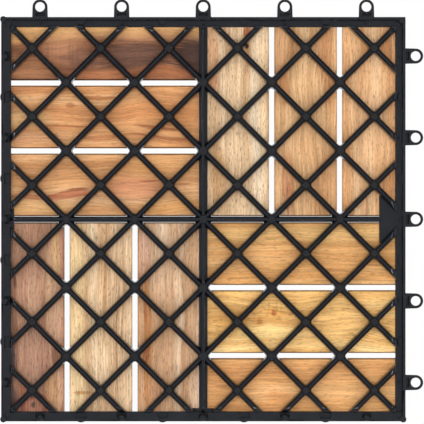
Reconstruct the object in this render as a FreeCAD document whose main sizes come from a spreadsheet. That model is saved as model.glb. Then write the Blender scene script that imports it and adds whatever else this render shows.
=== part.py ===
"""Interlocking deck tile: twelve acacia slats on a moulded plastic grid.

The tile lies on its walking faces with the grid upwards. The origin is the middle of the
tile, on the plane of the walking faces. +X points to the side with the right-hand rings
and +Y to the side with the back rings. Pegs stand along the left and front sides.
"""
import FreeCAD, Part
import os

import Sketcher
from FreeCAD import Placement, Rotation, Vector

SIZES = (
    # Slats
    ("slat_pitch", 50.8, "from slat to slat, and across one mesh of the lattice"),
    ("slats_per_block", 3, "slats side by side in each quarter of the tile"),
    ("tile_gap", 4.6, "gap between the quarters, and between neighbouring tiles"),
    ("slat_gap", 4.0, "gap between slats side by side"),
    ("slat_thick", 12.0, "thickness of a slat"),
    ("slat_round", 1.5, "radius of the edges that are walked on"),
    ("slat_bevel", 0.9, "bevel of the edges under the grid"),
    ("slat_corner", 1.0, "radius of the corners in plan"),
    # Diagonal lattice
    ("grid_depth", 11.0, "height of the ribs above the wood"),
    ("rib_crest", 3.4, "width of a rib below the bevels of its crest"),
    ("rib_root", 5.4, "width of a rib against the wood"),
    ("crest_bevel", 1.0, "bevel along both edges of a crest"),
    ("cell_round", 2.6, "corner radius of a cell below that bevel"),
    ("rib_reach", 1.0, "how far the ribs run out over the frame"),
    ("rib_end_round", 6.0, "radius over the end of a rib"),
    ("boss_dia", 5.5, "plain foot boss at a crossing"),
    ("spine_boss_dia", 6.5, "foot boss at a crossing on the long centre rib"),
    ("boss_rise", 1.0, "height of the bosses above the crests"),
    # Centre ribs and bare plates
    ("spine_foot", 6.2, "width of the foot of the long rib between the blocks"),
    ("spine_crest", 2.2, "width of that rib"),
    ("cross_foot", 4.1, "width of the foot of the rib that crosses it"),
    ("cross_rib", 2.1, "width of that rib"),
    ("right_plate", 11.9, "depth of the bare plate inside the ring lip"),
    ("left_plate", 2.1, "depth of the bare plate inside the left peg rail"),
    ("front_plate", 2.3, "depth of the bare plate inside the front peg rail"),
    # Rails
    ("rail_width", 7.3, "width of the frame round the lattice"),
    ("rail_height", 6.0, "height of the peg rails above the wood"),
    ("rail_wall", 1.6, "wall of the peg rails"),
    ("flange_thick", 1.8, "thickness of the flange against the wood"),
    ("lip_width", 2.2, "thickness of the lip that carries the rings"),
    ("lip_height", 9.5, "height of that lip above the wood"),
    ("post_dia", 4.7, "corner post"),
    ("post_proud", 0.6, "how far three of the corner posts stand out of the outline"),
    ("post_inset", 0.2, "how far the post where the ring lips meet stays inside it"),
    # Rings and pegs
    ("couplings", 5, "rings or pegs on one side"),
    ("coupling_margin", 29.0, "from a corner of the tile to the first ring or peg"),
    ("ring_reach", 7.5, "from the edge to the middle of a ring"),
    ("ring_hole", 7.2, "diameter of the hole in a ring"),
    ("ring_wall", 1.95, "wall round that hole"),
    ("ring_level", 8.0, "height of a ring's lower face above the wood"),
    ("ring_thick", 3.0, "thickness of a ring"),
    ("tab_root", 11.6, "width of a ring's tab where it leaves the lip"),
    ("tab_lap", 2.0, "how far the tab reaches inwards over the lip"),
    ("slot_length", 6.6, "pocket between ring and lip, along the edge"),
    ("slot_width", 1.9, "pocket between ring and lip, across the edge"),
    ("slot_depth", 7.0, "depth of that pocket"),
    ("slot_start", 0.75, "from the edge of the tile to that pocket"),
    ("slot_wall", 1.0, "wall round that pocket, under the tab"),
    ("gusset_thick", 1.2, "gusset behind a tab"),
    ("gusset_run", 3.0, "reach of that gusset"),
    ("gusset_height", 6.0, "height of that gusset above the wood"),
    ("peg_play", 1.2, "clearance all round a peg in a ring"),
    ("peg_proud", 0.2, "how far a peg stands out of a neighbour's ring"),
    ("peg_bevel", 0.5, "bevel at the tip of a peg"),
    ("peg_root", 3.8, "side of the square root of a peg inside the rail"),
    ("recess_length", 6.4, "recess inside each peg, along the rail"),
    ("recess_wall", 0.6, "wall left beside the recesses in a rail"),
    ("recess_depth", 4.6, "depth of those recesses"),
    # Keys and pads between the couplings
    ("key_width", 5.4, "width of a key on the peg rails"),
    ("key_bulge", 0.8, "how far a key bulges out"),
    ("key_recess_length", 8.0, "recess behind a key, along the rail"),
    ("key_recess_start", 2.3, "from the edge of the tile to that recess"),
    ("pad_radius", 3.5, "half-round pad inside the ring lip"),
    ("pad_height", 4.6, "height of that pad above the wood"),
    # Screws
    ("screw_dia", 3.0, "shank, and the pilot hole in the wood"),
    ("screw_head_dia", 4.2, "trim head"),
    ("screw_head_height", 1.8, "height of the head"),
    ("screw_length", 20.0, "whole length of a screw"),
    ("screw_point", 3.0, "length of the point"),
    ("screw_sink", 0.6, "how deep the head sits below the top of its boss"),
    ("screw_play", 0.15, "clearance all round shank and head in the grid"),
    ("screw_boss_dia", 6.0, "foot boss that holds a screw"),
    ("drive_span", 2.6, "span of the cross recess in the head"),
    ("drive_width", 0.8, "width of that recess's arms"),
    ("drive_depth", 1.1, "depth of that recess"),
    ("pilot_spare", 1.0, "depth of the pilot hole past the point"),
)

doc = FreeCAD.newDocument("deck_tile")
sheet = doc.addObject("Spreadsheet::Sheet", "sizes")
for row, (alias, size, meaning) in enumerate(SIZES, start=1):
    sheet.set(f"A{row}", meaning)
    sheet.set(f"B{row}", str(size))
    sheet.setAlias(f"B{row}", alias)
doc.recompute()

# Sizes worked out from the sheet, as expressions
BLOCK_COUNT = "sizes.slats_per_block"
PITCH = "sizes.slat_pitch"
STEP = f"({PITCH} / 2)"
SIDE = f"(2 * {BLOCK_COUNT} * {PITCH} - sizes.tile_gap)"
HALF = f"({SIDE} / 2)"
FIELD = f"({HALF} - sizes.rail_width)"
RIB_END = f"({FIELD} + sizes.rib_reach)"
SLAT_LENGTH = f"({HALF} - sizes.tile_gap / 2)"
SLAT_WIDTH = f"(({SLAT_LENGTH} - ({BLOCK_COUNT} - 1) * sizes.slat_gap) / {BLOCK_COUNT})"
WOOD = "sizes.slat_thick"
CREST = f"({WOOD} + sizes.grid_depth)"
FOOT = f"({CREST} + sizes.boss_rise)"
RAIL_TOP = f"({WOOD} + sizes.rail_height)"
RING_RADIUS = "(sizes.ring_hole / 2 + sizes.ring_wall)"
PEG_RADIUS = "(sizes.ring_hole / 2 - sizes.peg_play)"
PEG_INSET = "(sizes.ring_reach - sizes.tile_gap)"
PEG_HEIGHT = "(sizes.ring_level + sizes.ring_thick + sizes.peg_proud)"
COUPLING_FIRST = f"(sizes.coupling_margin - {HALF})"
COUPLING_PITCH = f"(({SIDE} - 2 * sizes.coupling_margin) / (sizes.couplings - 1))"
HEAD_TOP = f"({FOOT} - sizes.screw_sink)"
HEAD_SEAT = f"({HEAD_TOP} - sizes.screw_head_height)"
SCREW_TIP = f"({HEAD_TOP} - sizes.screw_length)"
RIB_DRAFT = "atan((sizes.rib_root - sizes.rib_crest) / 2 / sizes.grid_depth)"

# Millimetres within which two lengths count as the same
SAME_LENGTH = 1e-4


def number(expression):
    """The present value of an expression on the sheet."""
    return float(sheet.evalExpression(expression))


def new_body(name):
    """An empty body with its own label."""
    body = doc.addObject("PartDesign::Body", name)
    body.Label = name
    return body


def origin_feature(body, role):
    """One of a body's own planes or axes."""
    return next(item for item in body.Origin.OriginFeatures if item.Role == role)


def new_sketch(body, name, level, plane="XY_Plane"):
    """A sketch on a plane of the body, lifted to a level."""
    sketch = body.newObject("Sketcher::SketchObject", name)
    sketch.AttachmentSupport = [(origin_feature(body, plane), "")]
    sketch.MapMode = "FlatFace"
    sketch.setExpression("AttachmentOffset.Base.z", level)
    return sketch


def hold_point(sketch, geometry, end, point):
    """Dimension one point of a sketch from its origin."""
    for kind, size in zip(("DistanceX", "DistanceY"), point):
        index = sketch.addConstraint(Sketcher.Constraint(kind, -1, 1, geometry, end, number(size)))
        sketch.setExpression(f"Constraints[{index}]", size)


def vector(point):
    """A sketch point from two expressions."""
    return Vector(number(point[0]), number(point[1]), 0)


def draw_polygon(sketch, corners):
    """A closed outline of straight lines."""
    first = sketch.GeometryCount
    for start, end in zip(corners, corners[1:] + corners[:1]):
        sketch.addGeometry(Part.LineSegment(vector(start), vector(end)))
    for index, corner in enumerate(corners):
        before = first + (index - 1) % len(corners)
        sketch.addConstraint(Sketcher.Constraint("Coincident", before, 2, first + index, 1))
        hold_point(sketch, first + index, 1, corner)


def draw_rectangle(sketch, low, high):
    """A rectangle between two opposite corners."""
    draw_polygon(sketch, [low, (high[0], low[1]), high, (low[0], high[1])])


def draw_circle(sketch, centre, radius):
    """A circle with its centre and radius dimensioned."""
    index = sketch.addGeometry(Part.Circle(vector(centre), Vector(0, 0, 1), number(radius)))
    hold_point(sketch, index, 3, centre)
    bound = sketch.addConstraint(Sketcher.Constraint("Radius", index, number(radius)))
    sketch.setExpression(f"Constraints[{bound}]", radius)


def join_arc(sketch, first, second, centre, radius):
    """An arc, anticlockwise, from the end of one line to the start of another.

    The caller dimensions either its radius or its centre.
    """
    middle = vector(centre)
    start = sketch.Geometry[first].EndPoint - middle
    end = sketch.Geometry[second].StartPoint - middle
    circle = Part.Circle(middle, Vector(0, 0, 1), number(radius))
    angles = [circle.parameter(middle + ray) for ray in (start, end)]
    index = sketch.addGeometry(Part.ArcOfCircle(circle, *angles))
    sketch.addConstraint(Sketcher.Constraint("Coincident", first, 2, index, 1))
    sketch.addConstraint(Sketcher.Constraint("Coincident", index, 2, second, 1))
    return index


def draw_rounded_diamond(sketch, centre, reach, radius):
    """A square standing on its corner, each corner rounded; reach is half its diagonal."""
    inset = f"({reach} - {radius} * sqrt(2))"
    shift = f"({radius} / sqrt(2))"
    x, y = centre
    ways = ((1, 0), (0, 1), (-1, 0), (0, -1))
    middles = [(f"({x} + {way[0]} * {inset})", f"({y} + {way[1]} * {inset})") for way in ways]
    first = sketch.GeometryCount
    for index, way in enumerate(ways):
        turned = ways[(index + 1) % 4]
        outward = (f"({way[0] + turned[0]} * {shift})", f"({way[1] + turned[1]} * {shift})")
        ends = [
            (f"({middle[0]} + {outward[0]})", f"({middle[1]} + {outward[1]})")
            for middle in (middles[index], middles[(index + 1) % 4])
        ]
        line = sketch.addGeometry(Part.LineSegment(vector(ends[0]), vector(ends[1])))
        hold_point(sketch, line, 1, ends[0])
        hold_point(sketch, line, 2, ends[1])
    for index, middle in enumerate(middles):
        arc = join_arc(sketch, first + (index - 1) % 4, first + index, middle, radius)
        bound = sketch.addConstraint(Sketcher.Constraint("Radius", arc, number(radius)))
        sketch.setExpression(f"Constraints[{bound}]", radius)


def add_pad(body, name, sketch, length, taper=None):
    """Material from the sketch upwards."""
    pad = body.newObject("PartDesign::Pad", name)
    pad.Profile = sketch
    pad.setExpression("Length", length)
    if taper:
        pad.setExpression("TaperAngle", taper)
    return pad


def add_pocket(body, name, sketch, length, upwards=False):
    """A cut from the sketch, downwards unless it is said to go upwards."""
    pocket = body.newObject("PartDesign::Pocket", name)
    pocket.Profile = sketch
    pocket.setExpression("Length", length)
    pocket.Reversed = upwards
    return pocket


def add_row(body, name, spacing, count, feature=None):
    """Copies along the body's X axis, of one feature or else of all that is there."""
    doc.recompute()
    row = body.newObject("PartDesign::LinearPattern", name)
    if feature:
        row.Originals = [feature]
    else:
        row.TransformMode = "Whole shape"
    row.Direction = (origin_feature(body, "X_Axis"), [""])
    row.Mode = "Spacing"
    row.setExpression("Offset", spacing)
    row.setExpression("Occurrences", count)
    body.Tip = row


def edges_where(shape, wanted):
    """Names of the edges of a shape whose middle satisfies a test."""
    names = []
    for index, edge in enumerate(shape.Edges, start=1):
        middle = edge.valueAt((edge.FirstParameter + edge.LastParameter) / 2)
        if wanted(edge, middle):
            names.append(f"Edge{index}")
    return names


def add_edge_finish(body, kind, name, wanted, sizes):
    """A fillet or chamfer on the chosen edges of the body as it stands."""
    doc.recompute()
    base = body.Tip
    finish = body.newObject(f"PartDesign::{kind}", name)
    finish.Base = (base, edges_where(base.Shape, wanted))
    for prop, size in sizes.items():
        finish.setExpression(prop, size)
    return finish


def near(first, second):
    """True for two lengths that are the same on the model."""
    return abs(first - second) < SAME_LENGTH


def draw_tongue(sketch, root, tip, radius, centre):
    """A tongue along X with a round end: root and tip are (x, half width)."""
    points = [
        (tip[0], tip[1]),
        (root[0], root[1]),
        (root[0], f"(-{root[1]})"),
        (tip[0], f"(-{tip[1]})"),
    ]
    # The round end goes anticlockwise, so the lines start at the other corner if it faces -X
    if number(tip[0]) < number(root[0]):
        points.reverse()
    for start, end in zip(points, points[1:]):
        line = sketch.addGeometry(Part.LineSegment(vector(start), vector(end)))
        hold_point(sketch, line, 1, start)
        hold_point(sketch, line, 2, end)
    arc = join_arc(sketch, 2, 0, (centre, "0"), radius)
    bound = sketch.addConstraint(Sketcher.Constraint("DistanceX", -1, 1, arc, 3, number(centre)))
    sketch.setExpression(f"Constraints[{bound}]", centre)


def make_field():
    """The slab that the ribs are cut from, rounded where the ribs end."""
    body = new_body("field")
    slab = new_sketch(body, "field_outline", WOOD)
    draw_rectangle(slab, (f"(-{RIB_END})", f"(-{RIB_END})"), (RIB_END, RIB_END))
    add_pad(body, "field_slab", slab, "sizes.grid_depth")
    crest = number(CREST)
    add_edge_finish(
        body, "Fillet", "rib_ends",
        lambda edge, middle: near(middle.z, crest),
        {"Radius": "sizes.rib_end_round"},
    )
    return body


def make_cell():
    """One drafted cell between the ribs, flared at the crests, about its own middle."""
    body = new_body("cell")
    reach = f"({STEP} - sizes.rib_crest / sqrt(2))"
    for name, wider, depth, taper in (
        ("cell", "0", "sizes.grid_depth", RIB_DRAFT),
        ("flare", "sizes.crest_bevel", "sizes.crest_bevel", "45"),
    ):
        outline = new_sketch(body, f"{name}_outline", CREST)
        draw_rounded_diamond(
            outline, ("0", "0"), f"({reach} + {wider} * sqrt(2))", f"(sizes.cell_round + {wider})",
        )
        pad = add_pad(body, f"{name}_depth", outline, depth, taper=f"-{taper}")
        pad.Reversed = True
    return body


def draw_plate(sketch, side, depth, along_x=True):
    """The outline of a plate between the frame and the last two ribs.

    The plate lies at the end of the X axis, or else of the Y axis, on the side with that sign.
    """
    node = f"({BLOCK_COUNT} * {PITCH})"
    corners = []
    for reach, sign in ((f"({FIELD} - {depth})", -1), (FIELD, -1), (FIELD, 1), (f"({FIELD} - {depth})", 1)):
        corner = (f"({side} * {reach})", f"({sign} * ({node} - {reach}))")
        corners.append(corner if along_x else corner[::-1])
    draw_polygon(sketch, corners)


def make_centre_ribs():
    """The two footed ribs between the four blocks, and the bare plates at three of their ends."""
    body = new_body("centre_ribs")
    cross_end = f"({FIELD} - sizes.right_plate)"
    runs = (
        ("spine_foot", ("(-sizes.spine_foot / 2)", f"(-{FIELD})"), ("(sizes.spine_foot / 2)", FIELD),
         "sizes.flange_thick"),
        ("cross_foot", (f"(-{FIELD})", "(-sizes.cross_foot / 2)"), (cross_end, "(sizes.cross_foot / 2)"),
         "sizes.flange_thick"),
        ("spine", ("(-sizes.spine_crest / 2)", f"(-{RIB_END})"), ("(sizes.spine_crest / 2)", RIB_END),
         "sizes.grid_depth"),
        ("cross_rib", (f"(-{RIB_END})", "(-sizes.cross_rib / 2)"), (cross_end, "(sizes.cross_rib / 2)"),
         "sizes.grid_depth"),
    )
    for name, low, high, height in runs:
        outline = new_sketch(body, f"{name}_outline", WOOD)
        draw_rectangle(outline, low, high)
        add_pad(body, f"{name}_pad", outline, height)

    crest = number(CREST)
    rib_end = number(RIB_END)
    add_edge_finish(
        body, "Fillet", "centre_rib_ends",
        lambda edge, middle: near(middle.z, crest) and (
            near(abs(middle.y), rib_end) or near(middle.x, -rib_end)
        ),
        {"Radius": "sizes.rib_end_round"},
    )

    for name, side, along_x in (("right_plate", 1, True), ("left_plate", -1, True), ("front_plate", -1, False)):
        plate = new_sketch(body, f"{name}_outline", WOOD)
        draw_plate(plate, side, f"sizes.{name}", along_x)
        add_pad(body, f"{name}_pad", plate, "sizes.flange_thick")
    return body


def make_boss(name, diameter):
    """A round foot at a crossing, about its own axis."""
    body = new_body(name)
    outline = new_sketch(body, f"{name}_outline", WOOD)
    draw_circle(outline, ("0", "0"), f"({diameter} / 2)")
    add_pad(body, f"{name}_height", outline, "(sizes.grid_depth + sizes.boss_rise)")
    return body


def make_screw_hole():
    """What a screw takes out of the grid: a clear hole and a seat for the head."""
    body = new_body("screw_hole")
    bore = new_sketch(body, "screw_bore_outline", WOOD)
    draw_circle(bore, ("0", "0"), "(sizes.screw_dia / 2 + sizes.screw_play)")
    add_pad(body, "screw_bore", bore, "(sizes.grid_depth + sizes.boss_rise)")
    seat = new_sketch(body, "screw_seat_outline", HEAD_SEAT)
    draw_circle(seat, ("0", "0"), "(sizes.screw_head_dia / 2 + sizes.screw_play)")
    add_pad(body, "screw_seat", seat, "(sizes.screw_sink + sizes.screw_head_height)")
    return body


def make_frame():
    """Flange, hollow peg rails on two sides, ring lip on the other two, corner posts."""
    body = new_body("frame")
    flange = new_sketch(body, "flange_outline", WOOD)
    draw_rectangle(flange, (f"(-{HALF})", f"(-{HALF})"), (HALF, HALF))
    draw_rectangle(flange, (f"(-{FIELD})", f"(-{FIELD})"), (FIELD, FIELD))
    add_pad(body, "flange", flange, "sizes.flange_thick")

    rail = new_sketch(body, "rail_outline", WOOD)
    draw_polygon(rail, [
        (f"(-{HALF})", f"(-{HALF})"),
        (HALF, f"(-{HALF})"),
        (HALF, f"(-{FIELD})"),
        (f"(-{FIELD})", f"(-{FIELD})"),
        (f"(-{FIELD})", HALF),
        (f"(-{HALF})", HALF),
    ])
    add_pad(body, "rails", rail, "sizes.rail_height")

    channel = new_sketch(body, "channel_outline", WOOD)
    outer = f"({HALF} - sizes.rail_wall)"
    inner = f"({FIELD} + sizes.rail_wall)"
    draw_polygon(channel, [
        (f"(-{outer})", f"(-{outer})"),
        (outer, f"(-{outer})"),
        (outer, f"(-{inner})"),
        (f"(-{inner})", f"(-{inner})"),
        (f"(-{inner})", outer),
        (f"(-{outer})", outer),
    ])
    add_pocket(body, "channel", channel, "(sizes.rail_height - sizes.rail_wall)", upwards=True)

    lip = new_sketch(body, "lip_outline", WOOD)
    inside = f"({HALF} - sizes.lip_width)"
    draw_polygon(lip, [
        (HALF, f"(-{HALF})"),
        (HALF, HALF),
        (f"(-{HALF})", HALF),
        (f"(-{HALF})", inside),
        (inside, inside),
        (inside, f"(-{HALF})"),
    ])
    add_pad(body, "lip", lip, "sizes.lip_height")

    post = new_sketch(body, "post_outline", WOOD)
    proud = f"({HALF} + sizes.post_proud - sizes.post_dia / 2)"
    inset = f"({HALF} - sizes.post_inset - sizes.post_dia / 2)"
    for x_sign, y_sign, place in ((-1, -1, proud), (1, -1, proud), (-1, 1, proud), (1, 1, inset)):
        draw_circle(post, (f"({x_sign} * {place})", f"({y_sign} * {place})"), "(sizes.post_dia / 2)")
    add_pad(body, "posts", post, "sizes.grid_depth")
    return body


# The pieces below are modelled at one side: X is 0 on the outline and grows outwards,
# and Y is 0 on the middle of the piece


def make_recess(name, start, length):
    """A recess in a peg rail, open at the top."""
    body = new_body(name)
    outline = new_sketch(body, f"{name}_outline", f"({RAIL_TOP} - sizes.recess_depth)")
    draw_rectangle(
        outline,
        ("(sizes.recess_wall - sizes.rail_width)", f"(-{length} / 2)"),
        (f"(-{start})", f"({length} / 2)"),
    )
    add_pad(body, f"{name}_cut", outline, "sizes.recess_depth")
    return body


def make_block(name, length):
    """The solid block in the hollow rail that a recess is sunk into."""
    body = new_body(name)
    outline = new_sketch(body, f"{name}_outline", WOOD)
    half = f"({length} / 2 + sizes.rail_wall)"
    draw_rectangle(
        outline,
        ("(sizes.rail_wall / 2 - sizes.rail_width)", f"(-{half})"),
        ("(-sizes.rail_wall / 2)", half),
    )
    add_pad(body, f"{name}_height", outline, "sizes.rail_height")
    return body


def make_peg():
    """A round peg with a bevelled tip, on a square root inside the rail."""
    body = new_body("peg")
    root = new_sketch(body, "peg_root_outline", WOOD)
    reach = "sizes.peg_root / 2"
    draw_rectangle(root, (f"(-{PEG_INSET} - {reach})", f"(-{reach})"), (f"({reach} - {PEG_INSET})", f"({reach})"))
    add_pad(body, "peg_root_height", root, "sizes.rail_height")
    outline = new_sketch(body, "peg_outline", RAIL_TOP)
    draw_circle(outline, (f"(-{PEG_INSET})", "0"), PEG_RADIUS)
    add_pad(body, "peg_height", outline, f"({PEG_HEIGHT} - sizes.rail_height)")
    tip = number(f"{WOOD} + {PEG_HEIGHT}")
    add_edge_finish(
        body, "Chamfer", "peg_tip",
        lambda edge, middle: near(middle.z, tip),
        {"Size": "sizes.peg_bevel"},
    )
    return body


def make_key():
    """The rounded key that stands out of a peg rail."""
    body = new_body("key")
    half = "(sizes.key_width / 2)"
    radius = "((pow(sizes.key_width / 2; 2) + pow(sizes.key_bulge; 2)) / (2 * sizes.key_bulge))"
    outline = new_sketch(body, "key_outline", WOOD)
    root = ("(-sizes.rail_wall / 2)", half)
    draw_tongue(outline, root, ("0", half), radius, f"(sizes.key_bulge - {radius})")
    add_pad(body, "key_height", outline, "sizes.rail_height")
    return body


def make_ring():
    """A ring on its tab, with a pocket between ring and lip and a gusset inside the lip."""
    body = new_body("ring")
    level = f"({WOOD} + sizes.ring_level)"
    tab = new_sketch(body, "ring_outline", level)
    root = ("(-sizes.tab_lap)", "(sizes.tab_root / 2)")
    draw_tongue(tab, root, ("sizes.ring_reach", RING_RADIUS), RING_RADIUS, "sizes.ring_reach")
    draw_circle(tab, ("sizes.ring_reach", "0"), "(sizes.ring_hole / 2)")
    add_pad(body, "ring_tab", tab, "sizes.ring_thick")
    root_height = "(sizes.slot_depth + sizes.slot_wall - sizes.ring_thick)"
    box = new_sketch(body, "slot_box_outline", f"({level} - {root_height})")
    draw_rectangle(
        box,
        ("(-sizes.lip_width / 2)", "(-sizes.slot_length / 2 - sizes.slot_wall)"),
        ("(sizes.slot_start + sizes.slot_width + sizes.slot_wall)", "(sizes.slot_length / 2 + sizes.slot_wall)"),
    )
    add_pad(body, "slot_box", box, root_height)
    slot = new_sketch(body, "slot_outline", f"({level} + sizes.ring_thick)")
    draw_rectangle(
        slot,
        ("sizes.slot_start", "(-sizes.slot_length / 2)"),
        ("(sizes.slot_start + sizes.slot_width)", "(sizes.slot_length / 2)"),
    )
    add_pocket(body, "slot", slot, "sizes.slot_depth")
    gusset = new_sketch(body, "gusset_outline", WOOD)
    draw_rectangle(
        gusset,
        ("(-sizes.lip_width - sizes.gusset_run)", "(-sizes.gusset_thick / 2)"),
        ("(-sizes.lip_width / 2)", "(sizes.gusset_thick / 2)"),
    )
    add_pad(body, "gusset", gusset, "sizes.gusset_height")
    return body


def make_lip_pad():
    """The half-round pad on the inside of the ring lip."""
    body = new_body("lip_pad")
    outline = new_sketch(body, "lip_pad_outline", WOOD)
    root = ("(-sizes.lip_width / 2)", "sizes.pad_radius")
    tip = ("(-sizes.lip_width)", "sizes.pad_radius")
    draw_tongue(outline, root, tip, "sizes.pad_radius", "(-sizes.lip_width)")
    add_pad(body, "lip_pad_height", outline, "sizes.pad_height")
    return body


def moved(body, x, y, turn=0):
    """A copy of a body's shape, turned about Z and then moved."""
    shape = body.Shape.copy()
    shape.Placement = Placement(Vector(x, y, 0), Rotation(Vector(0, 0, 1), turn))
    return shape


def along_sides(body, turns, places):
    """Copies on some sides of the tile: turn 0 is the right side, 90 the back."""
    half = number(HALF)
    copies = []
    for turn in turns:
        rotation = Rotation(Vector(0, 0, 1), turn)
        for place in places:
            spot = rotation.multVec(Vector(half, place, 0))
            copies.append(moved(body, spot.x, spot.y, turn))
    return copies


def at_crossings(body, wanted):
    """Copies at the lattice points, counted in half pitches from the middle of the tile."""
    step = number(STEP)
    reach = 2 * int(number(BLOCK_COUNT))
    counts = range(-reach, reach + 1)
    return [moved(body, i * step, j * step) for i in counts for j in counts if wanted(i, j)]


def on_tile(i, j):
    """True for a lattice point, counted in half pitches, that lies inside the tile's edge."""
    reach = 2 * int(number(BLOCK_COUNT))
    return abs(i) < reach and abs(j) < reach


def make_grid():
    """The moulded grid, one piece: lattice, centre ribs, feet and frame run into each other."""
    count = int(number("sizes.couplings"))
    first, pitch = number(COUPLING_FIRST), number(COUPLING_PITCH)
    couplings = [first + index * pitch for index in range(count)]
    between = [place + pitch / 2 for place in couplings[:-1]]
    ring_turns = (0, 90)
    peg_turns = (180, 270)

    field, cell, ribs, frame = make_field(), make_cell(), make_centre_ribs(), make_frame()
    plain = make_boss("plain_boss", "sizes.boss_dia")
    on_spine = make_boss("spine_boss", "sizes.spine_boss_dia")
    screwed = make_boss("screw_boss", "sizes.screw_boss_dia")
    screw_hole = make_screw_hole()
    ring, lip_pad, key, peg = make_ring(), make_lip_pad(), make_key(), make_peg()
    peg_block = make_block("peg_block", "sizes.recess_length")
    key_block = make_block("key_block", "sizes.key_recess_length")
    peg_recess = make_recess("peg_recess", PEG_INSET, "sizes.recess_length")
    key_recess = make_recess("key_recess", "sizes.key_recess_start", "sizes.key_recess_length")
    doc.recompute()

    lattice = field.Shape.cut(at_crossings(cell, lambda i, j: (i + j) % 2))
    added = [ribs.Shape, frame.Shape]
    added += at_crossings(plain, lambda i, j: on_tile(i, j) and i and not i % 2 and not j % 2)
    added += at_crossings(on_spine, lambda i, j: on_tile(i, j) and not i and not j % 2)
    added += at_crossings(screwed, lambda i, j: i % 2 and j % 2)
    added += along_sides(ring, ring_turns, couplings)
    added += along_sides(lip_pad, ring_turns, between)
    added += along_sides(peg_block, peg_turns, couplings)
    added += along_sides(key_block, peg_turns, between)
    added += along_sides(key, peg_turns, between)
    removed = at_crossings(screw_hole, lambda i, j: i % 2 and j % 2)
    removed += along_sides(peg_recess, peg_turns, couplings)
    removed += along_sides(key_recess, peg_turns, between)
    shape = lattice.multiFuse(added).cut(removed)
    shape = shape.multiFuse(along_sides(peg, peg_turns, couplings))
    grid = doc.addObject("Part::Feature", "base_grid")
    grid.Label = "base_grid"
    grid.Shape = shape.removeSplitter()
    return grid


def make_slat(name, shift):
    """A slat along X, with its pilot holes on the X axis and its own middle shifted from it."""
    body = new_body(name)
    board = new_sketch(body, f"{name}_outline", "0")
    half_length = f"({SLAT_LENGTH} / 2)"
    draw_rectangle(
        board,
        (f"(-{half_length})", f"({shift} - {SLAT_WIDTH} / 2)"),
        (half_length, f"({shift} + {SLAT_WIDTH} / 2)"),
    )
    add_pad(body, f"{name}_board", board, WOOD)
    thick = number(WOOD)
    add_edge_finish(
        body, "Fillet", f"{name}_corners",
        lambda edge, middle: near(middle.z, thick / 2),
        {"Radius": "sizes.slat_corner"},
    )
    add_edge_finish(
        body, "Fillet", f"{name}_worn_edges",
        lambda edge, middle: near(middle.z, 0),
        {"Radius": "sizes.slat_round"},
    )
    add_edge_finish(
        body, "Chamfer", f"{name}_hidden_edges",
        lambda edge, middle: near(middle.z, thick),
        {"Size": "sizes.slat_bevel"},
    )
    pilot = new_sketch(body, f"{name}_pilot_outline", WOOD)
    draw_circle(pilot, (f"(-({BLOCK_COUNT} - 1) * {STEP})", "0"), "(sizes.screw_dia / 2)")
    depth = f"({WOOD} - {SCREW_TIP} + sizes.pilot_spare)"
    hole = add_pocket(body, f"{name}_pilot", pilot, depth)
    add_row(body, f"{name}_pilots", PITCH, BLOCK_COUNT, hole)
    return body


def make_screws(name):
    """The row of screws that holds one slat, along X."""
    body = new_body(name)
    start = f"(-({BLOCK_COUNT} - 1) * {STEP})"
    profile = new_sketch(body, f"{name}_profile", "0", plane="XZ_Plane")
    profile.setExpression("AttachmentOffset.Base.x", start)
    draw_polygon(profile, [
        ("0", SCREW_TIP),
        ("(sizes.screw_dia / 2)", f"({SCREW_TIP} + sizes.screw_point)"),
        ("(sizes.screw_dia / 2)", HEAD_SEAT),
        ("(sizes.screw_head_dia / 2)", HEAD_SEAT),
        ("(sizes.screw_head_dia / 2)", HEAD_TOP),
        ("0", HEAD_TOP),
    ])
    turned = body.newObject("PartDesign::Revolution", f"{name}_turned")
    turned.Profile = profile
    turned.ReferenceAxis = (profile, ["V_Axis"])
    turned.Angle = 360.0

    drive = new_sketch(body, f"{name}_drive_outline", HEAD_TOP)
    drive.setExpression("AttachmentOffset.Base.x", start)
    arm = "(sizes.drive_span / 2)"
    web = "(sizes.drive_width / 2)"
    corner = [(arm, f"(-{web})"), (arm, web), (web, web)]
    points = list(corner)
    for _ in range(3):
        corner = [(f"(-{y})", x) for x, y in corner]
        points += corner
    draw_polygon(drive, points)
    add_pocket(body, f"{name}_drive", drive, "sizes.drive_depth")
    add_row(body, f"{name}_row", PITCH, BLOCK_COUNT)
    return body


def screw_row(index):
    """From the middle of the tile to the row of crossings that a slat is screwed to."""
    return f"({index} * {PITCH} - {STEP})"


def slat_middle(index):
    """From the middle of the tile to the middle of a slat."""
    return f"(sizes.tile_gap / 2 + ({index} - 1) * ({SLAT_WIDTH} + sizes.slat_gap) + {SLAT_WIDTH} / 2)"


def lay_in_block(body, x_sign, y_sign, index, along_x):
    """Put a slat, or its screws, in its place in one quarter of the tile."""
    middle = f"({SLAT_LENGTH} / 2 + sizes.tile_gap / 2)"
    across = screw_row(index)
    body.Placement = Placement(Vector(), Rotation(Vector(0, 0, 1), 0 if along_x else 90))
    x_place, y_place = (middle, across) if along_x else (across, middle)
    body.setExpression(".Placement.Base.x", f"{x_sign} * {x_place}")
    body.setExpression(".Placement.Base.y", f"{y_sign} * {y_place}")


# Slats lie along X in the back left and front right quarters, along Y in the others
BLOCKS = (
    ("back_left", -1, 1, True),
    ("back_right", 1, 1, False),
    ("front_left", -1, -1, False),
    ("front_right", 1, -1, True),
)

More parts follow.
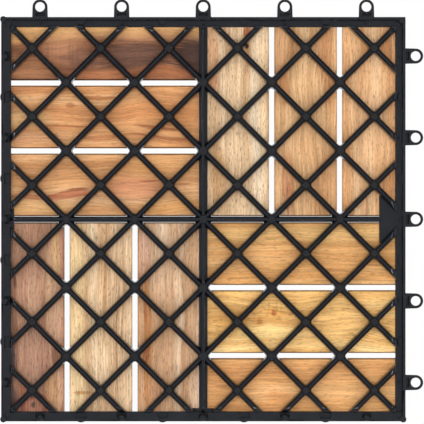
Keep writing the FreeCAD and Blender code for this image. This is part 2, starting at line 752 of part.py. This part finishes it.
nodes = [make_grid()]
for block, x_sign, y_sign, along_x in BLOCKS:
    outward = y_sign if along_x else -x_sign
    for index in range(1, int(number(BLOCK_COUNT)) + 1):
        shift = f"({outward} * ({slat_middle(index)} - {screw_row(index)}))"
        for piece in (make_slat(f"slat_{block}_{index}", shift), make_screws(f"screws_{block}_{index}")):
            lay_in_block(piece, x_sign, y_sign, index, along_x)
            nodes.append(piece)
doc.recompute()

for item in doc.Objects:
    if {"Invalid", "Error"} & set(item.State):
        raise RuntimeError(f"{item.Name} was not computed: {item.State}")
for node in nodes:
    if node.Shape.isNull() or not node.Shape.isValid():
        raise RuntimeError(f"{node.Label} has no valid shape")

os.makedirs("parts", exist_ok=True)
for node in nodes:
    node.Shape.exportStep(f"parts/{node.Label}.step")
    print(f"{node.Label}: {len(node.Shape.Solids)} solid(s), {node.Shape.Volume / 1000:.2f} cm3")
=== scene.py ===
"""Interlocking deck tile seen from below: oiled acacia slats on a moulded charcoal grid."""
import math

import bpy
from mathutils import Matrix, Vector


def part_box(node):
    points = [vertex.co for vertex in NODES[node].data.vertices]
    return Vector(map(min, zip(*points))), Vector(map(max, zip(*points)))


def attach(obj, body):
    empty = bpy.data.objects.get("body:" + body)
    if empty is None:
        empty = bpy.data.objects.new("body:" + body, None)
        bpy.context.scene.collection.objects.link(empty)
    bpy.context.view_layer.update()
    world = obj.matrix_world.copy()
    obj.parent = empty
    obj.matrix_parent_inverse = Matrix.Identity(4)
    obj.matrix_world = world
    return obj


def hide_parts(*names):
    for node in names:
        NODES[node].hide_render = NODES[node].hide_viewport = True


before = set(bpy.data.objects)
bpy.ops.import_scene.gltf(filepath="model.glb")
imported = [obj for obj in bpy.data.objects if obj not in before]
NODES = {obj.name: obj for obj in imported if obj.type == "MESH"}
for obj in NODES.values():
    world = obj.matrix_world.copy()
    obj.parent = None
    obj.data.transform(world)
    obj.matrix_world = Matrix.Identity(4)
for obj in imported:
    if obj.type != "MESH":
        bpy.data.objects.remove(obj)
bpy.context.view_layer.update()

MM = 0.001
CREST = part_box("base_grid")[1].z


# Camera and light

PHOTO_WIDTH = 314.4 * MM
PHOTO_MIDDLE = Vector((6.5 * MM, 5.4 * MM, CREST))
CAMERA_DISTANCE = 3.5
CAMERA_REACH = 20.0
SENSOR = 36.0

# Small bright boxes all round: the direction each stands in, and its power
EDGE_BOXES = {
    "left_box": ((-1.0, 0.1, 0.85), 1.7),
    "right_box": ((1.0, -0.1, 0.85), 1.6),
    "front_box": ((0.1, -1.0, 0.9), 1.3),
    "back_box": ((-0.1, 1.0, 0.9), 1.1),
}
EDGE_BOX_DISTANCE = 1.2
EDGE_BOX_SIZE = (0.05, 0.32)

# Two wide boxes above, which light the wood evenly
HIGH_BOXES = {
    "high_left_box": (-0.3, 0.06, 1.0),
    "high_right_box": (0.3, -0.06, 1.0),
}
HIGH_BOX_DISTANCE = 2.2
HIGH_BOX_SIZE = (0.9, 0.9)
HIGH_BOX_POWER = 14.5


def make_camera():
    """A long lens looking straight down, as in the photo."""
    data = bpy.data.cameras.new("camera")
    data.sensor_width = SENSOR
    data.lens = SENSOR * CAMERA_DISTANCE / PHOTO_WIDTH
    data.clip_end = CAMERA_REACH
    camera = bpy.data.objects.new("camera", data)
    bpy.context.scene.collection.objects.link(camera)
    camera.location = PHOTO_MIDDLE + Vector((0, 0, CAMERA_DISTANCE))
    bpy.context.scene.camera = camera


def add_area_light(name, direction, distance, size, power):
    """A soft box that faces the tile from a direction."""
    data = bpy.data.lights.new(name, "AREA")
    data.shape = "RECTANGLE"
    data.size, data.size_y = size
    data.energy = power
    light = bpy.data.objects.new(name, data)
    bpy.context.scene.collection.objects.link(light)
    light.location = Vector(direction).normalized() * distance
    light.rotation_euler = Vector(direction).to_track_quat("Z", "Y").to_euler()
    return light


def make_lights():
    """Boxes that shine along rounded edges, and wide ones that aren't mirrored in the plastic."""
    for name, (direction, power) in EDGE_BOXES.items():
        add_area_light(name, direction, EDGE_BOX_DISTANCE, EDGE_BOX_SIZE, power)
    for name, direction in HIGH_BOXES.items():
        high = add_area_light(name, direction, HIGH_BOX_DISTANCE, HIGH_BOX_SIZE, HIGH_BOX_POWER)
        high.visible_glossy = False


# Material tools

# The mix node repeats its sockets for each kind of value: these are the ones for colours
MIX_FACTOR, MIX_FIRST, MIX_SECOND, MIX_RESULT = 0, 6, 7, 2


def srgb(code):
    """A hex colour, through the sRGB curve, as linear red, green, blue and 1."""
    parts = [int(code[i:i + 2], 16) / 255 for i in (0, 2, 4)]
    return [part / 12.92 if part <= 0.04045 else ((part + 0.055) / 1.055) ** 2.4 for part in parts] + [1.0]


def add(tree, kind, inputs=None, **settings):
    """A node with its settings; each input is a value or the socket that feeds it."""
    node = tree.nodes.new(kind)
    for key, value in settings.items():
        setattr(node, key, value)
    for key, value in (inputs or {}).items():
        if isinstance(value, bpy.types.NodeSocket):
            tree.links.new(value, node.inputs[key])
        else:
            node.inputs[key].default_value = value
    return node


def new_material(name):
    """An empty material with its output and a principled shader."""
    material = bpy.data.materials.new(name)
    material.use_nodes = True
    tree = material.node_tree
    tree.nodes.clear()
    shader = add(tree, "ShaderNodeBsdfPrincipled")
    add(tree, "ShaderNodeOutputMaterial", {"Surface": shader.outputs[0]})
    return material, tree, shader


def maths(tree, operation, first, second=0.0):
    """The output of one calculation."""
    return add(tree, "ShaderNodeMath", {0: first, 1: second}, operation=operation).outputs[0]


def vectors(tree, operation, first, second=(0.0, 0.0, 0.0)):
    """The output of one calculation on vectors."""
    node = add(tree, "ShaderNodeVectorMath", {0: first, 1: second}, operation=operation)
    return node.outputs["Value" if operation == "LENGTH" else "Vector"]


def millimetres(tree):
    """The place on the tile, in millimetres."""
    return vectors(tree, "MULTIPLY", add(tree, "ShaderNodeTexCoord").outputs["Object"], (1 / MM,) * 3)


def noise(tree, place, scales, detail=2.0, roughness=0.5):
    """Noise whose grain has a size of its own along each axis: scales are per millimetre."""
    settings = {"Vector": vectors(tree, "MULTIPLY", place, scales), "Scale": 1.0}
    settings.update({"Detail": detail, "Roughness": roughness})
    return add(tree, "ShaderNodeTexNoise", settings).outputs["Fac"]


def spread(tree, value, low, high, to_low=0.0, to_high=1.0):
    """A value stretched from one range to another, held at its ends."""
    settings = {"Value": value, "From Min": low, "From Max": high, "To Min": to_low, "To Max": to_high}
    return add(tree, "ShaderNodeMapRange", settings).outputs[0]


def blend_colour(tree, factor, first, second, mode="MIX"):
    """Two colours mixed."""
    settings = {MIX_FACTOR: factor, MIX_FIRST: first, MIX_SECOND: second}
    return add(tree, "ShaderNodeMix", settings, data_type="RGBA", blend_type=mode).outputs[MIX_RESULT]


def shaded(tree, colour, shade):
    """A colour times a grey value."""
    grey = add(tree, "ShaderNodeCombineColor", {0: shade, 1: shade, 2: shade}).outputs[0]
    return blend_colour(tree, 1.0, colour, grey, "MULTIPLY")


def parts_of(tree, vector):
    """The three numbers of a vector."""
    return add(tree, "ShaderNodeSeparateXYZ", {0: vector}).outputs


def give(piece, material):
    """Puts one material on a piece."""
    piece.data.materials.clear()
    piece.data.materials.append(material)


# Wood

# Each slat: heart, light and dark tone, how far its grain wanders in mm, and how dark its pores are
SLATS = {
    "slat_back_left_3": ("996341", "B07857", "6E432D", 3.0, 0.35),
    "slat_back_left_2": ("D79760", "E1AB77", "BB7D4E", 3.0, 0.35),
    "slat_back_left_1": ("D9A16C", "E1AF80", "C48956", 3.5, 0.35),
    "slat_back_right_1": ("E8C59C", "F3D8B6", "CCA276", 2.0, 0.75),
    "slat_back_right_2": ("DFB17F", "EAC397", "C38F5F", 2.0, 0.55),
    "slat_back_right_3": ("E0AC7A", "E9BC8E", "CE935F", 1.5, 0.55),
    "slat_front_left_3": ("B98B6E", "CAA081", "97684F", 2.5, 0.6),
    "slat_front_left_2": ("E2BF96", "EDD2AE", "CDA175", 1.5, 0.6),
    "slat_front_left_1": ("E2BE9B", "EDD0B9", "C1946D", 2.0, 0.6),
    "slat_front_right_1": ("DCA365", "E8B97E", "C48A4E", 2.0, 0.45),
    "slat_front_right_2": ("F1BD73", "FDD592", "D79D56", 5.0, 0.5),
    "slat_front_right_3": ("DDA264", "E4AE74", "D4955A", 1.5, 0.4),
}

# What marks each slat: where on the tile, half length along the grain and half width in mm,
# the colour, and how much of it shows
MARKS = {
    "slat_back_left_3": (
        # Pale sapwood along the outer edge
        (-70, 152, 260, 20, "E7B072", 1.0),
        (-138, 136, 18, 6, "E0A66B", 0.8),
        # Purple brown heart, darkest towards the centre rib
        (-50, 120, 36, 13, "674434", 0.95),
        (-8, 121, 16, 16, "482F26", 0.95),
        (-112, 127, 26, 6, "BB825C", 0.7),
        (-92, 119, 18, 6, "7A5240", 0.6),
        # Warmer bands below it
        (-128, 110, 24, 7, "A8724B", 0.7),
        (-76, 108, 30, 5, "B67348", 0.75),
        (-30, 109, 26, 5.5, "B26D42", 0.75),
    ),
    "slat_back_left_2": (
        (-138, 75, 26, 9, "E3B47C", 0.75),
        (-128, 59, 28, 6, "C79067", 0.75),
        (-34, 81, 40, 12, "D79158", 0.6),
        # Thin brown streaks and a small knot
        (-80, 91.5, 20, 1.8, "AD6B3C", 0.85),
        (-103, 69, 21, 1.6, "AB6D40", 0.8),
        (-36, 67.5, 18, 1.5, "A7653A", 0.8),
        (-29, 60.5, 30, 1.7, "A9673E", 0.8),
        (-76, 59.5, 20, 2.4, "B57346", 0.75),
        (-99, 85, 4, 2.4, "A16139", 0.7),
    ),
    "slat_back_left_1": (
        (-32, 41, 38, 7, "D89B5E", 0.6),
        (-125, 9, 32, 6, "E6B579", 0.7),
        (-25, 9, 30, 7, "DD9F5A", 0.6),
        # Reddish streak that ends in a dark fork
        (-52, 23, 26, 9, "CB8860", 0.8),
        (-101, 18, 27, 3.4, "B06645", 0.9),
        (-93, 21.5, 11, 1.2, "914D2A", 0.8),
        (-133, 17, 14, 3, "BC7850", 0.75),
        (-41, 28.5, 8, 1.3, "A45A41", 0.75),
        (-14, 24.7, 7, 1.3, "B46A43", 0.7),
    ),
    "slat_back_right_1": (
        (7, 124, 30, 6, "D9A275", 0.8),
        (7, 102, 8, 4, "CF8F65", 0.7),
        (12, 30, 26, 7, "CB9A68", 0.75),
        (44, 90, 70, 3.5, "F0CFA4", 0.6),
        # Small black knot with a reddish patch above it
        (31, 132, 9, 4.5, "BC8C5E", 0.6),
        (32, 139, 6, 3, "B7653D", 0.85),
        (32.2, 128.9, 2.4, 1.8, "1E120C", 1.0),
    ),
    "slat_back_right_2": (
        (58.5, 126, 32, 4.5, "D19C6E", 0.85),
        (66.5, 128, 14, 3.5, "BB8351", 0.75),
        (90.5, 126, 26, 8, "C58959", 0.85),
        (95, 96, 20, 5, "C98D5B", 0.75),
        (61, 99, 16, 4.5, "CF8F59", 0.75),
        (63, 29, 28, 7, "C7895D", 0.8),
        (64, 22, 7, 2.2, "B36A43", 0.7),
        (91, 28, 26, 7, "CF9866", 0.7),
    ),
    "slat_back_right_3": (
        (107, 70, 90, 4, "DBA36F", 0.7),
        (121, 128, 8, 3, "D99255", 0.6),
        (136, 126, 14, 6, "C78551", 0.75),
        (137, 26, 14, 6, "CD8E5B", 0.7),
        (121.5, 10, 16, 0.9, "B17647", 0.7),
    ),
    "slat_front_left_3": (
        (-111, -22, 28, 3.2, "CAA06B", 0.8),
        (-105.5, -24, 20, 1.6, "AB725A", 0.7),
        (-116.5, -52, 32, 2.2, "C9A078", 0.75),
        (-124, -103, 30, 14, "A57862", 0.7),
        (-110, -101, 10, 3.5, "86553D", 0.8),
        (-113, -130, 24, 6, "BB8C60", 0.75),
        (-134.5, -128, 7, 3, "B4694B", 0.7),
        (-138.8, -46.5, 6, 1.4, "6C3C36", 0.9),
        # Bluish dark edge, and a small grey green knot in pinkish wood in the corner
        (-144, -106, 22, 5.5, "503E3D", 1.0),
        (-143, -134, 14, 5, "644843", 0.85),
        (-127, -137, 9, 11, "B3745C", 0.85),
        (-129, -130, 4, 4, "7A3E36", 0.8),
        (-118, -139, 8, 2, "9F5D47", 0.8),
        (-135, -140, 7, 2, "9B5545", 0.8),
        (-127.5, -138, 2.6, 2.2, "5C4E3C", 1.0),
    ),
    "slat_front_left_2": (
        (-94, -75, 110, 7, "ECCA96", 0.85),
        (-62, -75, 110, 8, "D8B087", 0.75),
        (-72, -136, 12, 8, "D7AA81", 0.7),
        (-73, -50, 60, 1.3, "C79865", 0.8),
        (-63.5, -95, 60, 0.9, "B78958", 0.75),
        (-60, -60, 50, 0.8, "BD8F61", 0.6),
        (-90.5, -129, 1.4, 8, "B98549", 0.8),
    ),
    "slat_front_left_1": (
        (-44, -25, 32, 4, "D0A288", 0.85),
        (-7, -60, 90, 6, "D3A57C", 0.7),
        (-38, -132, 16, 10, "CD936A", 0.7),
        # Orange brown streak near the left edge
        (-43, -90, 62, 3.8, "C0824B", 0.9),
        (-44.5, -66, 16, 1.5, "9C5C34", 0.8),
        (-43.5, -99, 9, 2.2, "A6603C", 0.8),
    ),
    "slat_front_right_1": (
        (70, -11, 100, 8, "E7B774", 0.75),
        (60, -40, 110, 9, "D59856", 0.7),
        (53, -13.5, 18, 1.3, "B77F45", 0.6),
        (98.5, -37.6, 11, 1.1, "AF7240", 0.65),
        (137, -20, 10, 9, "CD9656", 0.6),
    ),
    "slat_front_right_2": (
        (101, -76, 36, 14, "E7B671", 0.6),
        (49, -82, 28, 8, "FDD68C", 0.9),
        # Two small knots
        (52.5, -69.5, 6, 4, "D69C52", 0.7),
        (52.5, -69.5, 2.4, 1.8, "AD6530", 0.95),
        (42, -74, 5.5, 3.2, "D69E56", 0.7),
        (42, -74, 2.6, 1.6, "B3733A", 0.85),
    ),
    "slat_front_right_3": (
        (15, -125, 26, 14, "DA9A5E", 0.6),
        (14, -123.7, 6, 1.7, "AE743E", 0.6),
        (56, -132, 12, 5, "D69153", 0.6),
        (110, -125, 44, 12, "E2AA6E", 0.6),
    ),
}

# Fine lines across the grain that a planer left: where, half length and half width in mm
CHATTER = {
    "slat_back_left_3": ((-106, 123, 18, 10),),
    "slat_front_right_2": ((51.6, -66, 10, 5),),
}

# The grain's noises: scales along, across and through a slat, per millimetre
WANDER_SCALES = (0.018, 0.03, 0.05)
BROAD_SCALES = (0.005, 0.10, 0.10)
LINE_SCALES = (0.014, 0.5, 0.5)
FIBRE_SCALES = (0.05, 1.2, 1.2)
PORE_SCALES = (0.26, 1.3, 1.3)
CHATTER_SCALES = (0.55, 0.02, 0.1)

# How far each slat lies from the one before it in those noises, in mm
SLAT_STEP = (173.0, 61.0, 37.0)

# Noise stays mostly within a quarter of its middle, so four times its swing is a full one
NOISE_SWING = 4

# Where the broad noise turns from dark to heart tone, and from heart to light tone
DARK_TO_HEART = (0.36, 0.52)
HEART_TO_LIGHT = (0.52, 0.68)

# What each feature multiplies the colour by, from its lowest value to its highest
LINE_SHADES = (0.9, 1.1)
FIBRE_SHADES = (0.78, 1.16)
CHATTER_SHADES = (1.0, 0.8)
# The bevels' factor is painted shade on those that face front or back
PAINTED_BEVEL_SHADES = (1.0, 0.35)

# The share of a slat's pore depth that darkens its colour
PORE_DARKENING = 0.65

# A mark fades between these shares of its half size, and fibres make its rim ragged by this much
MARK_RIM, MARK_CORE = 1.1, 0.6
MARK_RAGGEDNESS = 1.2

# Painted shade on the bevels that face front or back: how far a bevel's normal turns to the front or back,
# and how far up it turns
PAINTED_SHADE_TURN = (0.5, 0.68)
PAINTED_SHADE_RISE = (0.3, 0.5)

# The oiled skin: roughness from open to dense fibre, and the relief of the fibres
OILED_ROUGHNESS = (0.62, 0.48)
FIBRE_RELIEF = 0.1 * MM


def patch(tree, place, centre, halves, raggedness):
    """1 within a soft ellipse and 0 outside it, its edge made ragged by a value around 0."""
    away = vectors(tree, "SUBTRACT", place, (*centre, 0.0))
    away = vectors(tree, "MULTIPLY", away, (1 / halves[0], 1 / halves[1], 0.0))
    distance = maths(tree, "ADD", vectors(tree, "LENGTH", away), raggedness)
    return spread(tree, distance, MARK_RIM, MARK_CORE)


def make_acacia(node_name, finish, seed):
    """Oiled acacia, planed: long streaks, fine fibres and short open pores along the slat."""
    heart, light, dark, wander, pore_depth = finish
    material, tree, shader = new_material(node_name.replace("slat", "oiled_acacia"))
    low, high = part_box(node_name)
    along_x = high.x - low.x > high.y - low.y
    place = millimetres(tree)
    if not along_x:
        axes = parts_of(tree, place)
        place = add(tree, "ShaderNodeCombineXYZ", {0: axes[1], 1: axes[0], 2: axes[2]}).outputs[0]
    own = vectors(tree, "ADD", place, tuple(seed * step for step in SLAT_STEP))
    drift = noise(tree, own, WANDER_SCALES, 1.0)
    drift = maths(tree, "MULTIPLY", maths(tree, "SUBTRACT", drift, 0.5), wander * NOISE_SWING)
    drift = add(tree, "ShaderNodeCombineXYZ", {1: drift}).outputs[0]
    place = vectors(tree, "ADD", place, drift)
    own = vectors(tree, "ADD", own, drift)

    broad = noise(tree, own, BROAD_SCALES, 3.0)
    colour = blend_colour(tree, spread(tree, broad, *DARK_TO_HEART), srgb(dark), srgb(heart))
    colour = blend_colour(tree, spread(tree, broad, *HEART_TO_LIGHT), colour, srgb(light))
    fibre = noise(tree, own, FIBRE_SCALES, 3.0, 0.6)
    raggedness = maths(tree, "MULTIPLY", maths(tree, "SUBTRACT", fibre, 0.5), MARK_RAGGEDNESS)
    for x, y, half_length, half_width, tone, share in MARKS[node_name]:
        centre = (x, y) if along_x else (y, x)
        mask = patch(tree, place, centre, (half_length, half_width), raggedness)
        colour = blend_colour(tree, maths(tree, "MULTIPLY", mask, share), colour, srgb(tone))
    for x, y, half_length, half_width in CHATTER.get(node_name, ()):
        mask = patch(tree, place, (x, y), (half_length, half_width), raggedness)
        lines = spread(tree, noise(tree, own, CHATTER_SCALES, 1.0), 0.45, 0.6)
        lines = maths(tree, "MULTIPLY", mask, lines)
        colour = shaded(tree, colour, spread(tree, lines, 0.0, 1.0, *CHATTER_SHADES))
    line = noise(tree, own, LINE_SCALES, 2.0)
    colour = shaded(tree, colour, spread(tree, line, 0.35, 0.65, *LINE_SHADES))
    colour = shaded(tree, colour, spread(tree, fibre, 0.34, 0.66, *FIBRE_SHADES))
    pore = spread(tree, noise(tree, own, PORE_SCALES, 1.0), 0.58, 0.67)
    colour = shaded(tree, colour, spread(tree, pore, 0.0, 1.0, 1.0, 1.0 - PORE_DARKENING * pore_depth))

    # Painted shade: the bevels along the front and back edges are darkened, as though less light falls on
    # them
    facing = parts_of(tree, add(tree, "ShaderNodeNewGeometry").outputs["Normal"])
    bevel = spread(tree, maths(tree, "ABSOLUTE", facing[1]), *PAINTED_SHADE_TURN)
    bevel = maths(tree, "MULTIPLY", bevel, spread(tree, facing[2], *PAINTED_SHADE_RISE))
    colour = shaded(tree, colour, spread(tree, bevel, 0.0, 1.0, *PAINTED_BEVEL_SHADES))
    tree.links.new(colour, shader.inputs["Base Color"])
    tree.links.new(spread(tree, fibre, 0.3, 0.7, *OILED_ROUGHNESS), shader.inputs["Roughness"])
    bump = add(tree, "ShaderNodeBump", {"Height": fibre, "Strength": 0.25, "Distance": FIBRE_RELIEF})
    tree.links.new(bump.outputs[0], shader.inputs["Normal"])
    return material


# Plastic and screws

# Where the ribs end over the flange and where the flange's face lies, in mm
RIB_END = 143.8
FLANGE_FACE = 13.8

# A painted grey sheen comes in over the last of a rib, stops just past its end, and keeps off the flange
# and the rails
PAINTED_SHEEN_IN = (RIB_END - 2.4, RIB_END - 0.6)
PAINTED_SHEEN_OUT = (RIB_END + 0.2, RIB_END + 0.4)
PAINTED_SHEEN_ABOVE = (FLANGE_FACE + 0.1, FLANGE_FACE + 0.4)
PAINTED_SHEEN_INSIDE = (1.0 - RIB_END, 1.4 - RIB_END)

# Noise scales per millimetre: clouds in the plastic's colour, its skin's grain, and the steel's grit
CLOUD_SCALES = (0.12, 0.12, 0.12)
SKIN_SCALES = (2.2, 2.2, 2.2)
GRIT_SCALES = (3.0, 3.0, 3.0)

# The satin skin: its roughness, the relief of its grain, and the radius that its edges catch light on
SATIN_ROUGHNESS = (0.18, 0.27)
SATIN_RELIEF = 0.03 * MM
EDGE_RADIUS = 0.5 * MM


def make_polypropylene():
    """Moulded polypropylene, charcoal: a satin skin, nearly black, that shines along its rounded edges,
    with a painted grey sheen on the rib ends.
    """
    material, tree, shader = new_material("moulded_polypropylene")
    place = millimetres(tree)
    cloud = noise(tree, place, CLOUD_SCALES, 3.0)
    colour = blend_colour(tree, spread(tree, cloud, 0.3, 0.7), srgb("0C0D11"), srgb("13151A"))
    # Painted sheen: grey on the ends of the ribs beside the ring lips, standing in for the light they
    # reflect
    sides = parts_of(tree, place)
    reach = maths(tree, "MAXIMUM", sides[0], sides[1])
    painted_sheen = maths(tree, "MULTIPLY", spread(tree, reach, *PAINTED_SHEEN_IN),
                  spread(tree, reach, *PAINTED_SHEEN_OUT, 1.0, 0.0))
    painted_sheen = maths(tree, "MULTIPLY", painted_sheen, spread(tree, sides[2], *PAINTED_SHEEN_ABOVE))
    rails = maths(tree, "MINIMUM", sides[0], sides[1])
    painted_sheen = maths(tree, "MULTIPLY", painted_sheen, spread(tree, rails, *PAINTED_SHEEN_INSIDE))
    colour = blend_colour(tree, painted_sheen, colour, srgb("484B52"))
    tree.links.new(colour, shader.inputs["Base Color"])
    skin = noise(tree, place, SKIN_SCALES, 2.0)
    tree.links.new(spread(tree, skin, 0.3, 0.7, *SATIN_ROUGHNESS), shader.inputs["Roughness"])
    rounded = add(tree, "ShaderNodeBevel", {"Radius": EDGE_RADIUS}, samples=6).outputs[0]
    bump = add(tree, "ShaderNodeBump", {"Height": skin, "Strength": 0.15, "Distance": SATIN_RELIEF})
    tree.links.new(rounded, bump.inputs["Normal"])
    tree.links.new(bump.outputs[0], shader.inputs["Normal"])
    shader.inputs["IOR"].default_value = 1.49
    shader.inputs["Specular IOR Level"].default_value = 0.4
    shader.inputs["Specular Tint"].default_value = srgb("F2F6FF")
    return material


def make_black_steel():
    """Black coated steel: dark and half matt, with the metal's sheen through it."""
    material, tree, shader = new_material("black_coated_steel")
    grit = noise(tree, millimetres(tree), GRIT_SCALES, 2.0)
    colour = blend_colour(tree, spread(tree, grit, 0.35, 0.65), srgb("1C1D20"), srgb("2C2D31"))
    tree.links.new(colour, shader.inputs["Base Color"])
    shader.inputs["Metallic"].default_value = 0.4
    shader.inputs["Roughness"].default_value = 0.42
    return material


# Floor and surroundings

FLOOR_SIZE = 12.0
FLOOR_DROP = 0.2 * MM
FLOOR_GLOW = 0.97

# The surroundings' light rises between these heights, from the first level to the second
SKY_HEIGHTS = (0.6, 0.95)
SKY_LEVELS = (0.26, 0.82)


def make_floor():
    """A pale floor, nearly white to the camera, which keeps a trace of the tile's soft shadow."""
    bpy.ops.mesh.primitive_plane_add(size=FLOOR_SIZE, location=(0, 0, -FLOOR_DROP))
    floor = bpy.context.object
    floor.name = "floor"
    material, tree, shader = new_material("pale_floor")
    shader.inputs["Base Color"].default_value = srgb("F2F2F0")
    shader.inputs["Roughness"].default_value = 0.9
    path = add(tree, "ShaderNodeLightPath").outputs
    seen = maths(tree, "MAXIMUM", path["Is Camera Ray"], path["Is Glossy Ray"])
    seen = maths(tree, "MAXIMUM", seen, path["Is Transmission Ray"])
    glow = add(tree, "ShaderNodeEmission", {"Color": srgb("FFFFFF"), "Strength": 1.0})
    share = maths(tree, "MULTIPLY", seen, FLOOR_GLOW)
    mixed = add(tree, "ShaderNodeMixShader", {0: share, 1: shader.outputs[0], 2: glow.outputs[0]})
    output = next(node for node in tree.nodes if node.type == "OUTPUT_MATERIAL")
    tree.links.new(mixed.outputs[0], output.inputs["Surface"])
    give(floor, material)


def make_world():
    """White to the camera, and a soft light on everything else that is weaker low down."""
    world = bpy.data.worlds.new("studio")
    bpy.context.scene.world = world
    world.use_nodes = True
    tree = world.node_tree
    tree.nodes.clear()
    path = add(tree, "ShaderNodeLightPath").outputs
    seen = maths(tree, "MAXIMUM", path["Is Camera Ray"], path["Is Transmission Ray"])
    height = parts_of(tree, add(tree, "ShaderNodeTexCoord").outputs["Generated"])[2]
    level = maths(tree, "MAXIMUM", spread(tree, height, *SKY_HEIGHTS, *SKY_LEVELS), seen)
    back = add(tree, "ShaderNodeBackground", {"Color": srgb("FFFFFF"), "Strength": level})
    add(tree, "ShaderNodeOutputWorld", {"Surface": back.outputs[0]})


# The moulded grid's edges

MOULD_RADIUS = 0.22 * MM
MERGE_DISTANCE = 0.002 * MM
# In degrees: edges that turn by more than the first are rounded, by more than the second shaded sharp
ROUNDED_ANGLE = 28
SHARP_ANGLE = 35


def round_edges(node_name):
    """A copy of a CAD node, merged and with its sharp edges rounded, in the node's place."""
    bpy.ops.object.select_all(action="DESELECT")
    node = NODES[node_name]
    node.select_set(True)
    bpy.context.view_layer.objects.active = node
    bpy.ops.object.duplicate()
    piece = bpy.context.object
    piece.name = f"{node_name}_rounded"
    bpy.ops.object.mode_set(mode="EDIT")
    bpy.ops.mesh.select_all(action="SELECT")
    bpy.ops.mesh.remove_doubles(threshold=MERGE_DISTANCE)
    bpy.ops.object.mode_set(mode="OBJECT")
    bevel = piece.modifiers.new("mould_radius", "BEVEL")
    bevel.limit_method = "ANGLE"
    bevel.angle_limit = math.radians(ROUNDED_ANGLE)
    bevel.width = MOULD_RADIUS
    bevel.segments = 2
    bevel.use_clamp_overlap = False
    bpy.ops.object.modifier_apply(modifier=bevel.name)
    bpy.ops.object.shade_smooth_by_angle(angle=math.radians(SHARP_ANGLE))
    flat = piece.modifiers.new("flat_faces", "WEIGHTED_NORMAL")
    flat.keep_sharp = True
    bpy.ops.object.modifier_apply(modifier=flat.name)
    return piece


make_camera()
make_lights()
make_world()
make_floor()

polypropylene = make_polypropylene()
black_steel = make_black_steel()
grid = round_edges("base_grid")
give(grid, polypropylene)
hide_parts("base_grid")
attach(grid, "root")
for seed, (slat, finish) in enumerate(SLATS.items(), start=1):
    give(NODES[slat], make_acacia(slat, finish, seed))
    give(NODES[slat.replace("slat", "screws")], black_steel)

bpy.context.scene.view_settings.view_transform = "Standard"
